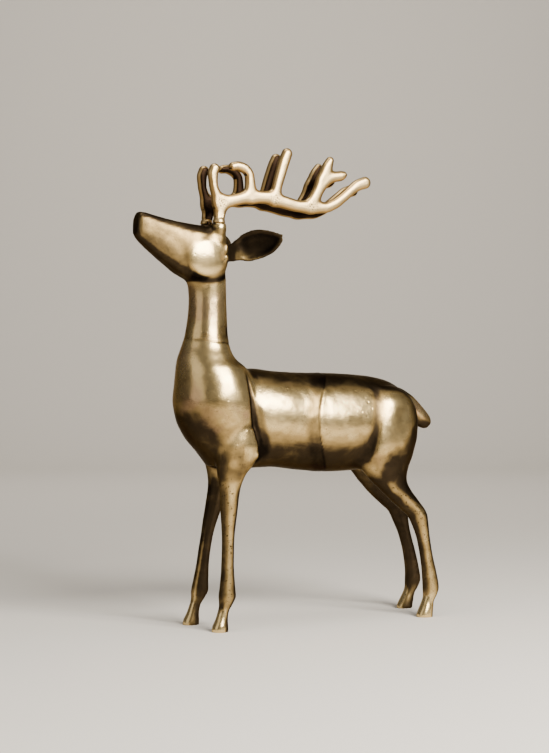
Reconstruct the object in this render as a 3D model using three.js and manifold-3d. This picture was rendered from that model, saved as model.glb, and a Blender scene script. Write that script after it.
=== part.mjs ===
// A cast aluminium reindeer standing with its muzzle raised.
// Millimetres, +Z up. The head looks along -X, so the left flank is on the -Y side.
import * as THREE from 'three';
import { mergeVertices } from 'three/addons/utils/BufferGeometryUtils.js';
import Module from 'manifold-3d';

const wasm = await Module();
wasm.setup();

// Driving sizes
const statueHeight = 800;       // floor to the highest antler tip
const antlerThickness = 14;     // the antlers are flat plates
const antlerEdgeRounding = 3;   // how far the plates' edges are rounded over
const antlerDroop = 2;          // degrees that the right antler sinks to the rear
const tenonDiameter = 10;       // round root of an antler, set into the skull
const tenonDepth = 14;
const pedicleDiameter = 24;     // raised collar that the antler stands on
const collarRise = 8.5;         // how far the collar stands out of the crown
const socketFloor = 8;          // metal left under the socket
const antlerFootHeight = 7;     // round foot of an antler, above its seat
const fitClearance = 0.3;       // air all round a tenon and under its shoulder
const earWall = 4.5;            // wall of the scooped ear

// Every proportion of the animal below is drawn for a statue this many units tall.
const drawnHeight = 800;
const unit = statueHeight / drawnHeight;

const brass = new THREE.MeshStandardMaterial({ color: '#b3935a', roughness: 0.38, metalness: 0.9 });
const paleBrass = new THREE.MeshStandardMaterial({ color: '#d8c39a', roughness: 0.34, metalness: 0.9 });

// Stations: each row of a table is one hand-set section of a limb.

// [height, middle x, reach forward, reach back, half width]
const neckAndChest = [
  [600, 20, 24, 26, 25],
  [574, 18, 32, 32, 31],
  [548, 19, 31.5, 31.5, 31.5],
  [520, 18.5, 32.5, 32.5, 32.5],
  [490, 17, 35.5, 34.5, 35.5],
  [468, 19, 44, 35, 42],
  [448, 21, 52.5, 41, 51],
  [432, 24, 57.5, 58, 60],
  [405, 28, 63.5, 72, 69],
  [375, 30, 67.5, 78, 73],
  [346, 32, 64, 78, 71],
  [316, 36, 52, 68, 65],
  [290, 41, 34, 52, 55],
  [268, 44, 20, 34, 42],
];

// [x, middle height, half height, half width]
const barrel = [
  [62, 349, 62, 54],
  [76, 347, 76.5, 62],
  [96, 347, 83.5, 67.5],
  [143, 344.7, 81, 70],
  [204, 339, 83, 71],
  [240, 337.5, 84.5, 72],
  [282, 337.2, 83.2, 71],
  [318, 338, 79.5, 69],
  [350, 343, 68.5, 63],
  [378, 347, 51.5, 51],
  [398, 346, 33, 34],
  [407, 345, 15, 16],
];

// [height, middle x, distance from the middle plane, half length, half width]
const frontLeg = [
  [330, 52, 40, 40, 28],
  [300, 54, 44, 38, 27],
  [275, 50, 43, 33, 24],
  [253, 43.5, 39, 23.5, 20],
  [232, 41, 39, 17.5, 17],
  [195, 38.5, 40.5, 14, 14],
  [141, 35.7, 42.7, 10.2, 10.4],
  [108, 34.5, 44, 10.5, 10.4],
  [75, 33.4, 45.3, 13, 11.5],
  [57, 32.6, 46.2, 14.8, 12.5],
  [45, 30, 46.6, 11.7, 11],
  [34, 25.5, 47, 9.3, 9.3],
  [22, 22.2, 47.4, 10, 10.2],
  [6, 18.9, 48, 13.6, 12.8],
  [0, 18.6, 48, 14, 13],
];

const hindLeg = [
  [399, 343, 26, 22, 20],
  [388, 345, 31, 37, 29],
  [365, 347, 35, 49, 36.5],
  [338, 344, 37.5, 56.5, 37.5],
  [310, 340, 39, 58.5, 36.5],
  [284, 336, 41, 54.5, 33],
  [262, 335, 43, 46, 29],
  [240, 341, 45, 34, 25],
  [221, 354, 47, 28, 21.5],
  [203, 371, 48, 25.5, 19],
  [186, 388, 49, 22, 16.5],
  [176, 396.5, 49.7, 18.5, 15],
  [164, 401, 50.2, 15.7, 13.4],
  [133, 408.5, 51.5, 11.5, 11.4],
  [113, 412, 52.2, 11.2, 11.2],
  [75, 418.5, 53.7, 13, 12],
  [50, 421, 54.6, 14.6, 12.8],
  [37, 419, 55.1, 12.2, 11.2],
  [28, 415, 55.4, 10.6, 10.4],
  [16, 411, 55.8, 12.4, 11.8],
  [4, 407.8, 56, 14.4, 13],
  [0, 407.6, 56, 14.7, 13.2],
];

// how far each right leg stands behind its left fellow: [height, shift]
const rightFrontShift = [[0, -8], [45, -7], [110, -3], [165, 4], [200, 11], [260, 19], [330, 12]];
const rightHindShift = [[0, 28], [60, 31], [100, 29], [130, 25], [165, 21], [200, 21], [262, 24],
  [310, 8], [408, 0]];

// [x of the crown, its height, x of the jaw line, its height, half width, squareness]
const head = [
  [-109.5, 681, -113, 650, 11.5, 2.6],
  [-105, 686.5, -109, 643.5, 14.2, 3],
  [-96, 685.5, -100, 634.5, 17, 3.4],
  [-76, 680.5, -80, 619, 21, 3.6],
  [-48, 674.5, -56, 601, 26.5, 3.6],
  [-22, 670.5, -32, 584.5, 31.5, 3.3],
  [4, 667.5, -6, 575, 34.5, 2.9],
  [26, 663, 20, 575.5, 34.5, 2.7],
  [41, 651, 41, 586, 29, 2.5],
  [49, 635, 50, 603, 17, 2.4],
];

// Round swelling at the angle of the left jaw: its middle and its reach each way
const cheek = [3, -27.5, 614];
const cheekReach = [39, 11, 37];

// [x, y, height, half width of the leaf] along the middle of the left ear
const ear = [
  [32, -22, 622, 15],
  [44, -37, 622, 15],
  [53, -48, 626, 19],
  [64, -60, 630.5, 24.5],
  [76, -71, 635, 25],
  [89, -82, 638.5, 21],
  [100, -92, 643, 13],
  [109, -100, 648, 3],
];
const earDepth = 15;        // how far the back of the leaf bulges

// [x, height, half thickness in the side view, half width]
const tail = [
  [366, 384, 14, 12],
  [386, 379, 17, 14],
  [404, 368.5, 16.5, 14.5],
  [420, 355, 15.8, 14],
  [433, 343, 15.2, 13],
  [443, 334.5, 13, 11],
  [449, 328, 7.5, 6.5],
];

// Left antler, [x, height, half width] along the middle of each branch, from its seat on the skull
const antler = {
  root: [[1, 12, 9], [3, 24, 9.5], [4, 36, 11.5]],
  browTine: [[2, 32, 10], [-3.5, 44, 8], [-10, 64, 7.3], [-11, 80, 8.4], [-8, 90, 8.6]],
  beam: [[2, 33, 11], [32, 40, 10], [60, 46, 10.5], [92, 46, 10.5], [122, 39, 10.5],
    [150, 33.5, 10], [177, 32.5, 10.5], [198, 32.5, 9.3], [218, 39.5, 9], [236, 52, 8.6],
    [252, 65, 8.6], [265, 73.5, 9.8], [278.5, 78.2, 10.4]],
  curl: [[59, 46, 11], [58, 64, 9], [56.5, 81, 8], [47, 92.5, 8.2], [34, 96.3, 7.6], [26, 95, 7]],
  highTine: [[103, 42, 10], [108, 63, 8.6], [114.5, 85, 9.2], [122, 108, 9.5], [127.3, 121, 9]],
  fork: [[172, 34, 11], [187, 61, 10], [198, 82, 11], [204, 100, 9.5], [210, 113, 6.6]],
  forkSpur: [[196, 78, 10], [214, 85, 9], [229, 87.5, 8.6], [236.5, 90, 5.8]],
};
const antlerSpread = 24;    // from the middle plane to the middle of each plate

// An antler's seat lies on the crown, raised by the collar.
const antlerSeat = { x: 28 };
antlerSeat.height = column(head, 1, antlerSeat.x) + collarRise / unit;

// Knob at the back of the left elbow: its middle, its radius and how far it is drawn out each way
const elbow = [75, -57, 291];
const elbowRadius = 10;
const elbowStretch = [1, 0.8, 1.3];

// How boxy the sections are: 2 is an ellipse
const barrelSquareness = 2.15;
const legSquareness = 2.1;

// How finely the curved forms are divided: sides round a section, and units between sections
const aroundBody = 26;
const aroundLeg = 12;
const aroundHead = 18;
const aroundTail = 10;
const aroundTenon = 16;
const aroundElbow = 8;
const aroundCheek = 12;
const chestSpacing = 20;
const barrelSpacing = 24;
const legSpacing = 22;

// Value of one column of a table at a place along its first column, by a smooth curve that
// doesn't swing past the stations (a monotone cubic).
function column(table, index, at) {
  const rising = table[0][0] < table[table.length - 1][0];
  const rows = rising ? table : [...table].reverse();
  const last = rows.length - 1;
  const place = THREE.MathUtils.clamp(at, rows[0][0], rows[last][0]);
  let k = 0;
  while (k < last - 1 && place > rows[k + 1][0]) k += 1;
  const slope = (i) => (rows[i + 1][index] - rows[i][index]) / (rows[i + 1][0] - rows[i][0]);
  const bend = (i) => {
    if (i === 0) return slope(0);
    if (i === last) return slope(last - 1);
    const before = slope(i - 1);
    const after = slope(i);
    return before * after <= 0 ? 0 : (2 * before * after) / (before + after);
  };
  const span = rows[k + 1][0] - rows[k][0];
  const t = (place - rows[k][0]) / span;
  const from = rows[k][index] * (1 + 2 * t) * (1 - t) ** 2 + bend(k) * span * t * (1 - t) ** 2;
  const to = rows[k + 1][index] * t * t * (3 - 2 * t) + bend(k + 1) * span * t * t * (t - 1);
  return from + to;
}

// Places along a table: its stations, each stretch cut into equal steps no longer than a step.
function places(table, step) {
  const list = [table[0][0]];
  for (let k = 1; k < table.length; k += 1) {
    const from = table[k - 1][0];
    const to = table[k][0];
    const parts = Math.ceil(Math.abs(to - from) / step);
    for (let i = 1; i <= parts; i += 1) list.push(from + ((to - from) * i) / parts);
  }
  return list;
}

// A rounded outline between an ellipse (power 2) and a box (a high power), from -1 to 1.
function roundedOutline(sides, power) {
  const points = [];
  for (let i = 0; i < sides; i += 1) {
    const turn = (2 * Math.PI * (i + 0.5)) / sides;
    const c = Math.cos(turn);
    const s = Math.sin(turn);
    points.push([
      Math.sign(c) * Math.abs(c) ** (2 / power),
      Math.sign(s) * Math.abs(s) ** (2 / power),
    ]);
  }
  return points;
}

// A closed skin over rings of equal count, with a fan over each end.
function skin(rings) {
  const count = rings[0].length;
  const points = rings.flat();
  const middle = (ring) => ring
    .reduce((sum, p) => sum.add(p), new THREE.Vector3())
    .divideScalar(ring.length);
  const first = points.length;
  points.push(middle(rings[0]), middle(rings[rings.length - 1]));
  const faces = [];
  for (let r = 0; r + 1 < rings.length; r += 1) {
    for (let i = 0; i < count; i += 1) {
      const a = r * count + i;
      const b = r * count + ((i + 1) % count);
      faces.push(a, b, b + count, a, b + count, a + count);
    }
  }
  const lastRing = (rings.length - 1) * count;
  for (let i = 0; i < count; i += 1) {
    const next = (i + 1) % count;
    faces.push(first, next, i);
    faces.push(first + 1, lastRing + i, lastRing + next);
  }
  const geometry = new THREE.BufferGeometry().setFromPoints(points);
  geometry.setIndex(volumeOf(points, faces) < 0 ? faces.reverse() : faces);
  return geometry;
}

function volumeOf(points, faces) {
  let six = 0;
  for (let i = 0; i < faces.length; i += 3) {
    const [a, b, c] = [points[faces[i]], points[faces[i + 1]], points[faces[i + 2]]];
    six += a.dot(b.clone().cross(c));
  }
  return six;
}

function solidOf(geometry) {
  const bare = new THREE.BufferGeometry();
  bare.setAttribute('position', geometry.getAttribute('position').clone());
  if (geometry.index) bare.setIndex(geometry.index);
  const merged = mergeVertices(bare, 1e-4);
  return new wasm.Manifold(new wasm.Mesh({
    numProp: 3,
    vertProperties: new Float32Array(merged.getAttribute('position').array),
    triVerts: new Uint32Array(merged.index.array),
  }));
}

function geometryOf(solid) {
  const mesh = solid.getMesh();
  const geometry = new THREE.BufferGeometry();
  geometry.setAttribute('position', new THREE.BufferAttribute(new Float32Array(mesh.vertProperties), 3));
  geometry.setIndex(new THREE.BufferAttribute(new Uint32Array(mesh.triVerts), 1));
  return geometry;
}

const point = (x, y, z) => new THREE.Vector3(x, y, z).multiplyScalar(unit);

// Neck and chest: level sections, each of two half ellipses that meet at the widest place.
function neckAndChestForm() {
  const outline = roundedOutline(aroundBody, 2);
  const rings = places(neckAndChest, chestSpacing).map((z) => {
    const middle = column(neckAndChest, 1, z);
    const forward = column(neckAndChest, 2, z);
    const back = column(neckAndChest, 3, z);
    const half = column(neckAndChest, 4, z);
    return outline.map(([a, b]) => point(middle + a * (a < 0 ? forward : back), b * half, z));
  });
  return skin(rings);
}

// Barrel of the body: upright sections from the shoulder to the rump.
function barrelForm() {
  const outline = roundedOutline(aroundBody, barrelSquareness);
  const rings = places(barrel, barrelSpacing).map((x) => {
    const middle = column(barrel, 1, x);
    const tall = column(barrel, 2, x);
    const half = column(barrel, 3, x);
    return outline.map(([a, b]) => point(x, a * half, middle + b * tall));
  });
  return skin(rings);
}

// A leg on one side (-1 left, 1 right), as level sections down to a flat sole.
function legForm(table, side, shifts) {
  const outline = roundedOutline(aroundLeg, legSquareness);
  const rings = places(table, legSpacing).map((z) => {
    const middle = column(table, 1, z) + (side > 0 ? column(shifts, 1, z) : 0);
    const out = column(table, 2, z);
    const along = column(table, 3, z);
    const across = column(table, 4, z);
    return outline.map(([a, b]) => point(middle + a * along, side * out + b * across, z));
  });
  return skin(rings);
}

// A rounded swelling on one side, drawn out by its reach along x, y and z.
function swellingForm([x, y, z], reach, around, side) {
  const geometry = new THREE.SphereGeometry(1, around, Math.ceil(around * 0.7));
  const centre = point(x, -side * y, z);
  return geometry.scale(...reach.map((r) => r * unit)).translate(centre.x, centre.y, centre.z);
}

// Head: boxy sections, each standing on the jaw line and reaching to the crown.
function headForm() {
  const steps = head.map((row, i) => [i, ...row]);
  const rings = places(steps, 0.5).map((t) => {
    const [topX, topZ, jawX, jawZ, half, power] = [1, 2, 3, 4, 5, 6].map((i) => column(steps, i, t));
    return roundedOutline(aroundHead, power).map(([a, b]) => {
      const up = (b + 1) / 2;
      return point(jawX + (topX - jawX) * up, a * half, jawZ + (topZ - jawZ) * up);
    });
  });
  return skin(rings);
}

// Ear on one side: a leaf whose sections are crescents, scooped on the outer face.
function earForm(side) {
  const rows = ear.map((row, i) => [i, ...row]);
  const curve = places(rows, 0.5).map((t) => ({
    centre: point(column(rows, 1, t), column(rows, 2, t), column(rows, 3, t)),
    half: column(rows, 4, t) * unit,
    share: t / (rows.length - 1),
  }));
  const wall = Math.min(earWall, earDepth * unit * 0.6);
  const arcSteps = 7;
  const rings = curve.map(({ centre, half, share }, i) => {
    const before = curve[Math.max(i - 1, 0)].centre;
    const after = curve[Math.min(i + 1, curve.length - 1)].centre;
    const along = after.clone().sub(before).normalize();
    const up = new THREE.Vector3(0, 0, 1).addScaledVector(along, -along.z).normalize();
    const inward = along.clone().cross(up).normalize();
    if (inward.y < 0) inward.negate();
    const leaf = half / (ear[4][3] * unit);
    const back = earDepth * unit * leaf;
    const scoop = Math.max(back - wall, 0) * THREE.MathUtils.smoothstep(share, 0.12, 0.4) - wall * 0.5;
    const ring = [];
    for (let k = 0; k <= arcSteps; k += 1) {
      const turn = Math.PI * (k / arcSteps - 0.5);
      ring.push(centre.clone()
        .addScaledVector(up, half * Math.sin(turn))
        .addScaledVector(inward, back * Math.cos(turn)));
    }
    const rim = Math.max(half - wall * 0.8, half * 0.45);
    for (let k = arcSteps; k >= 0; k -= 1) {
      const turn = Math.PI * (k / arcSteps - 0.5);
      ring.push(centre.clone()
        .addScaledVector(up, rim * Math.sin(turn))
        .addScaledVector(inward, -wall * 0.5 * leaf + (scoop + wall * 0.5) * Math.cos(turn) * leaf));
    }
    return ring;
  });
  const geometry = skin(rings);
  if (side > 0) {
    geometry.scale(1, -1, 1);
    geometry.setIndex([...geometry.index.array].reverse());
  }
  return geometry;
}

// Tail: round sections square to its drooping middle line, closed by a blunt tip.
function tailForm() {
  const outline = roundedOutline(aroundTail, 2);
  const rings = tail.map(([x, z, thick, half], i) => {
    const before = tail[Math.max(i - 1, 0)];
    const after = tail[Math.min(i + 1, tail.length - 1)];
    const along = new THREE.Vector2(after[0] - before[0], after[1] - before[1]).normalize();
    return outline.map(([a, b]) => point(x - along.y * a * thick, b * half, z + along.x * a * thick));
  });
  return skin(rings);
}

// Seat of an antler: its middle on top of the skull, tipped back on the right side.
function seatMatrix(side) {
  const droop = side > 0 ? THREE.MathUtils.degToRad(antlerDroop) : 0;
  const turned = new THREE.Matrix4().makeRotationY(droop);
  return turned.setPosition(point(antlerSeat.x, side * antlerSpread, antlerSeat.height));
}

function uprightCylinder(diameter, bottom, top) {
  const geometry = new THREE.CylinderGeometry(diameter / 2, diameter / 2, top - bottom, aroundTenon);
  geometry.rotateX(Math.PI / 2);
  geometry.translate(0, 0, (top + bottom) / 2);
  return geometry;
}

// Raised collar on the skull under an antler, running down into the head.
function pedicleForm(side) {
  const radius = pedicleDiameter / 2;
  const sunk = tenonDepth + socketFloor;
  const profile = [
    [0, -sunk], [radius, -sunk], [radius * 1.15, -radius * 0.7], [radius, -radius * 0.2],
    [radius * 0.82, 0], [0, 0],
  ].map(([r, z]) => new THREE.Vector2(r, z));
  const geometry = new THREE.LatheGeometry(profile, aroundTenon);
  geometry.rotateX(Math.PI / 2);
  return geometry.applyMatrix4(seatMatrix(side));
}

function socketForm(side) {
  const bore = tenonDiameter + 2 * fitClearance;
  return uprightCylinder(bore, -tenonDepth - fitClearance, tenonDepth).applyMatrix4(seatMatrix(side));
}

// Outline of one branch of an antler: its two sides, with a round end on each.
function branchShape(rows) {
  const steps = rows.map((row, i) => [i, ...row]);
  const line = places(steps, 1).map((t) => [1, 2, 3].map((i) => column(steps, i, t)));
  const left = [];
  const right = [];
  line.forEach(([x, z, half], i) => {
    const before = line[Math.max(i - 1, 0)];
    const after = line[Math.min(i + 1, line.length - 1)];
    const along = new THREE.Vector2(after[0] - before[0], after[1] - before[1]).normalize();
    left.push(new THREE.Vector2(x - along.y * half, z + along.x * half));
    right.push(new THREE.Vector2(x + along.y * half, z - along.x * half));
  });
  const cap = (centre, from, turnSign) => {
    const arm = from.clone().sub(centre);
    return [1, 2, 3].map((k) => centre.clone().add(
      arm.clone().rotateAround(new THREE.Vector2(), (turnSign * Math.PI * k) / 4),
    ));
  };
  const end = new THREE.Vector2(line[line.length - 1][0], line[line.length - 1][1]);
  const start = new THREE.Vector2(line[0][0], line[0][1]);
  const outline = [
    ...left,
    ...cap(end, left[left.length - 1], -1),
    ...right.reverse(),
    ...cap(start, right[right.length - 1], -1),
  ];
  return outline.map((p) => p.multiplyScalar(unit));
}

// One antler in its own frame: seat at the origin, plate in the X-Z plane, tenon downwards.
function antlerForm() {
  const rounding = Math.min(antlerEdgeRounding, antlerThickness * 0.4);
  let whole = solidOf(uprightCylinder(tenonDiameter, -tenonDepth, antlerFootHeight));
  whole = whole.add(solidOf(uprightCylinder(pedicleDiameter * 0.72, fitClearance, antlerFootHeight)));
  for (const rows of Object.values(antler)) {
    const plate = new THREE.ExtrudeGeometry(new THREE.Shape(branchShape(rows)), {
      depth: antlerThickness - 2 * rounding,
      bevelThickness: rounding,
      bevelSize: rounding,
      bevelOffset: -rounding,
      bevelSegments: 1,
    });
    plate.translate(0, 0, rounding - antlerThickness / 2);
    plate.rotateX(Math.PI / 2);
    whole = whole.add(solidOf(plate));
  }
  return whole;
}

function reindeerBody() {
  const forms = [neckAndChestForm(), barrelForm(), headForm(), tailForm()];
  const elbowReach = elbowStretch.map((stretch) => stretch * elbowRadius);
  for (const side of [-1, 1]) {
    const behind = side > 0 ? column(rightFrontShift, 1, elbow[2]) : 0;
    forms.push(legForm(frontLeg, side, rightFrontShift));
    forms.push(legForm(hindLeg, side, rightHindShift));
    forms.push(swellingForm([elbow[0] + behind, elbow[1], elbow[2]], elbowReach, aroundElbow, side));
    forms.push(swellingForm(cheek, cheekReach, aroundCheek, side));
    forms.push(earForm(side));
    forms.push(pedicleForm(side));
  }
  let body = forms.map(solidOf).reduce((whole, form) => whole.add(form));
  for (const side of [-1, 1]) body = body.subtract(solidOf(socketForm(side)));
  return body;
}

function piece(name, solid, material) {
  const mesh = new THREE.Mesh(geometryOf(solid), material);
  mesh.name = name;
  return mesh;
}

const group = new THREE.Group();
group.add(piece('reindeer_body', reindeerBody(), brass));
const antlerSolid = antlerForm();
for (const [name, side] of [['left_antler', -1], ['right_antler', 1]]) {
  const mesh = piece(name, antlerSolid, paleBrass);
  mesh.applyMatrix4(seatMatrix(side));
  group.add(mesh);
}

// The origin is on the floor, under the middle of the statue.
group.updateMatrixWorld(true);
const reach = new THREE.Box3().setFromObject(group);
group.position.set(-(reach.min.x + reach.max.x) / 2, -(reach.min.y + reach.max.y) / 2, -reach.min.z);

export default group;
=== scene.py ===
import math
import time

import bpy
import numpy as np
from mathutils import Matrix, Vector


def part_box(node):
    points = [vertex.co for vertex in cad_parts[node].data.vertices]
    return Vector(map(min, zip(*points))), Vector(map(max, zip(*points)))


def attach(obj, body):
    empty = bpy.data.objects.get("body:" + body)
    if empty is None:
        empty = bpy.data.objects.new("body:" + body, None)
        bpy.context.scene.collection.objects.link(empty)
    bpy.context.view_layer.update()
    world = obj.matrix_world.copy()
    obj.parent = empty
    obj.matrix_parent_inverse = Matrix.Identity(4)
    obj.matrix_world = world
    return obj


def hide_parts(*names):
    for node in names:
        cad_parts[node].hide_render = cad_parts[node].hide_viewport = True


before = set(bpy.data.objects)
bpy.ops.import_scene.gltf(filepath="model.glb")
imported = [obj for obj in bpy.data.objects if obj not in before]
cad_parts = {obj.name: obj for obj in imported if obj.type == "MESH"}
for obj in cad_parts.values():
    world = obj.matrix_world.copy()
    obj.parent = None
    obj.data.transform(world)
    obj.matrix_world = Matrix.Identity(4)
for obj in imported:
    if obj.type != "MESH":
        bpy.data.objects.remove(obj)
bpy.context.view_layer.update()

started = time.time()


def report(stage):
    # the stage's name and the seconds since the start
    print(f"{stage}: {time.time() - started:.1f} s")


# Every table is in millimetres from the point between the front toes: x towards the tail, y towards the
# right flank, z up. The imported body starts at the muzzle, and that gives the way to the frame's origin.
# A table's first column is the place of a section, and each row is one section.
muzzleX = -113.0
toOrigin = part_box("reindeer_body")[0][0] * 1000.0 - muzzleX


def alongTable(table, at):
    # every column of a table at places along the first one, by a monotone cubic through the rows
    rows = np.array(table, float)
    if rows[0, 0] > rows[-1, 0]:
        rows = rows[::-1]
    at = np.clip(np.asarray(at, float), rows[0, 0], rows[-1, 0])
    span = np.diff(rows[:, 0])
    slope = np.diff(rows, axis=0) / span[:, None]
    bend = np.empty_like(rows)
    bend[0] = slope[0]
    bend[-1] = slope[-1]
    product = slope[:-1] * slope[1:]
    total = np.where(product > 0, slope[:-1] + slope[1:], 1.0)
    bend[1:-1] = np.where(product > 0, 2.0 * product / total, 0.0)
    k = np.clip(np.searchsorted(rows[:, 0], at, side="right") - 1, 0, len(span) - 1)
    t = ((at - rows[k, 0]) / span[k])[:, None]
    width = span[k][:, None]
    return (rows[k] * (1 + 2 * t) * (1 - t) ** 2 + bend[k] * width * t * (1 - t) ** 2
            + rows[k + 1] * t * t * (3 - 2 * t) + bend[k + 1] * width * t * t * (t - 1))


def roundedOutline(count, power):
    # cosine and sine raised to 2/power, which runs from an ellipse towards a box; power may be an array
    turn = 2 * np.pi * (np.arange(count) + 0.5) / count
    share = 2.0 / np.reshape(power, (-1, 1))
    a = np.sign(np.cos(turn)) * np.abs(np.cos(turn)) ** share
    b = np.sign(np.sin(turn)) * np.abs(np.sin(turn)) ** share
    return a, b


def shell(rings):
    # a closed skin over rings of equal count: quads between the rings and one flat cap on each end
    rings = np.asarray(rings)
    n, m = rings.shape[:2]
    i, j = np.meshgrid(np.arange(n - 1), np.arange(m), indexing="ij")
    near = (i * m + j).ravel()
    over = (i * m + (j + 1) % m).ravel()
    quads = np.stack([near, over, over + m, near + m], 1)
    points = rings.reshape(-1, 3)
    caps = [np.arange(m)[::-1], (n - 1) * m + np.arange(m)]
    a, b, c, d = (points[quads[:, k]] for k in range(4))
    middle = points.mean(0)
    volume = np.einsum("ij,ij->i", (a + c) / 2 - middle, np.cross(c - a, d - b)).sum()
    if volume < 0:
        quads = quads[:, ::-1]
        caps = [cap[::-1] for cap in caps]
    return points, [list(q) for q in quads.tolist()] + [cap.tolist() for cap in caps]


neckAndChest = {
    "sections": [  # height, middle x, reach forward, reach back, half width
        [600, 20, 24, 26, 25], [574, 18, 32, 32, 31], [548, 19, 31.5, 31.5, 31.5],
        [520, 18.5, 32.5, 32.5, 32.5], [490, 17, 35.5, 34.5, 35.5], [468, 19, 44, 35, 42],
        [448, 21, 52.5, 41, 51], [432, 24, 57.5, 58, 60], [405, 28, 63.5, 72, 69],
        [375, 30, 67.5, 78, 73], [346, 32, 64, 78, 71], [316, 36, 52, 68, 65], [290, 41, 34, 52, 55],
        [268, 44, 20, 34, 42]],
    "squareness": 2.0,
}


def chestShell():
    # stacked level sections: an ellipse whose front and back reach differ
    z = np.linspace(neckAndChest["sections"][0][0], neckAndChest["sections"][-1][0], 150)
    _, middle, forward, back, half = alongTable(neckAndChest["sections"], z).T[:, :, None]
    a, b = roundedOutline(96, neckAndChest["squareness"])
    x = middle + a * np.where(a < 0, forward, back)
    return shell(np.stack([x, b * half, np.broadcast_to(z[:, None], x.shape)], 2))


barrel = {
    "sections": [  # x, middle height, half height, half width
        [62, 349, 62, 54], [76, 347, 76.5, 62], [96, 347, 83.5, 67.5], [143, 344.7, 81, 70],
        [204, 339, 83, 71], [240, 337.5, 84.5, 72], [282, 337.2, 83.2, 71], [318, 338, 79.5, 69],
        [350, 343, 68.5, 63], [378, 347, 51.5, 51], [398, 346, 33, 34], [407, 345, 15, 16]],
    "squareness": 2.12,
}


def barrelShell():
    # upright sections along x, slightly squarer than ellipses
    x = np.linspace(barrel["sections"][0][0], barrel["sections"][-1][0], 150)
    _, middle, tall, half = alongTable(barrel["sections"], x).T[:, :, None]
    a, b = roundedOutline(96, barrel["squareness"])
    return shell(np.stack([np.broadcast_to(x[:, None], (len(x), 96)), a * half, middle + b * tall], 2))


frontLegs = {
    "sections": [  # height, middle x, distance from the middle plane, half length, half width
        [330, 52, 40, 40, 28], [300, 54, 44, 38, 27], [275, 50, 43, 33, 24], [253, 43.5, 39, 23.5, 20],
        [232, 41, 39, 17.5, 17], [195, 38.5, 40.5, 14, 14], [141, 35.7, 42.7, 10.2, 10.4],
        [108, 34.5, 44, 10.5, 10.4], [75, 33.4, 45.3, 13, 11.5], [57, 32.6, 46.2, 14.8, 12.5],
        [45, 30, 46.6, 11.7, 11], [34, 25.5, 47, 9.3, 9.3], [22, 22.2, 47.4, 10, 10.2],
        [6, 18.9, 48, 13.6, 12.8], [0, 18.6, 48, 14, 13]],
    "rightShift": [  # height, how far the right leg stands behind the left one
        [330, 12], [260, 19], [200, 11], [165, 4], [110, -3], [45, -7], [0, -8]],
    "squareness": 2.1,
}
hindLegs = {
    "sections": [
        [399, 343, 26, 22, 20], [388, 345, 31, 37, 29], [365, 347, 35, 49, 36.5],
        [338, 344, 37.5, 56.5, 37.5], [310, 340, 39, 58.5, 36.5], [284, 336, 41, 54.5, 33],
        [262, 335, 43, 46, 29], [240, 341, 45, 34, 25], [221, 354, 47, 28, 21.5],
        [203, 371, 48, 25.5, 19], [186, 388, 49, 22, 16.5], [176, 396.5, 49.7, 18.5, 15],
        [164, 401, 50.2, 15.7, 13.4], [133, 408.5, 51.5, 11.5, 11.4], [113, 412, 52.2, 11.2, 11.2],
        [75, 418.5, 53.7, 13, 12], [50, 421, 54.6, 14.6, 12.8], [37, 419, 55.1, 12.2, 11.2],
        [28, 415, 55.4, 10.6, 10.4], [16, 411, 55.8, 12.4, 11.8], [4, 407.8, 56, 14.4, 13],
        [0, 407.6, 56, 14.7, 13.2]],
    "rightShift": [
        [408, 0], [310, 8], [262, 24], [200, 21], [165, 21], [130, 25], [100, 29], [60, 31], [0, 28]],
    "squareness": 2.1,
}


def legShell(leg, side):
    # level sections down to the sole, mirrored, and set back on the right side
    z = np.linspace(leg["sections"][0][0], 0.0, 180)
    _, middle, out, along, across = alongTable(leg["sections"], z).T[:, :, None]
    if side > 0:
        middle = middle + alongTable(leg["rightShift"], z)[:, 1:2]
    a, b = roundedOutline(56, leg["squareness"])
    x = middle + a * along
    return shell(np.stack([x, side * out + b * across, np.broadcast_to(z[:, None], x.shape)], 2))


head = {
    "sections": [  # crown x, crown height, jaw x, jaw height, half width, squareness
        [-109.5, 681, -113, 650, 11.5, 2.6], [-105, 686.5, -109, 643.5, 14.2, 3],
        [-96, 685.5, -100, 634.5, 17, 3.4], [-76, 680.5, -80, 619, 21, 3.6],
        [-48, 674.5, -56, 601, 26.5, 3.6], [-22, 670.5, -32, 584.5, 31.5, 3.3],
        [4, 667.5, -6, 575, 34.5, 2.9], [26, 663, 20, 575.5, 34.5, 2.7], [41, 651, 41, 586, 29, 2.5],
        [49, 635, 50, 603, 17, 2.4]],
}


def headShell():
    # sections between the crown's line and the jaw's line: the point at height share u is
    # jaw + u * (crown - jaw)
    rows = [[i, *row] for i, row in enumerate(head["sections"])]
    t = np.linspace(0, len(rows) - 1, 120)
    _, topX, topZ, jawX, jawZ, half, power = alongTable(rows, t).T[:, :, None]
    a, b = roundedOutline(88, power)
    up = (b + 1) / 2
    return shell(np.stack([jawX + (topX - jawX) * up, a * half, jawZ + (topZ - jawZ) * up], 2))


ears = {
    "sections": [  # x, y, height, half width along the middle of the left ear
        [32, -22, 622, 15], [44, -37, 622, 15], [53, -48, 626, 19], [64, -60, 630.5, 24.5],
        [76, -71, 635, 25], [89, -82, 638.5, 21], [100, -92, 643, 13], [109, -100, 648, 3]],
    "depth": 15.0,
    "wall": 4.5,
}


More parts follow.
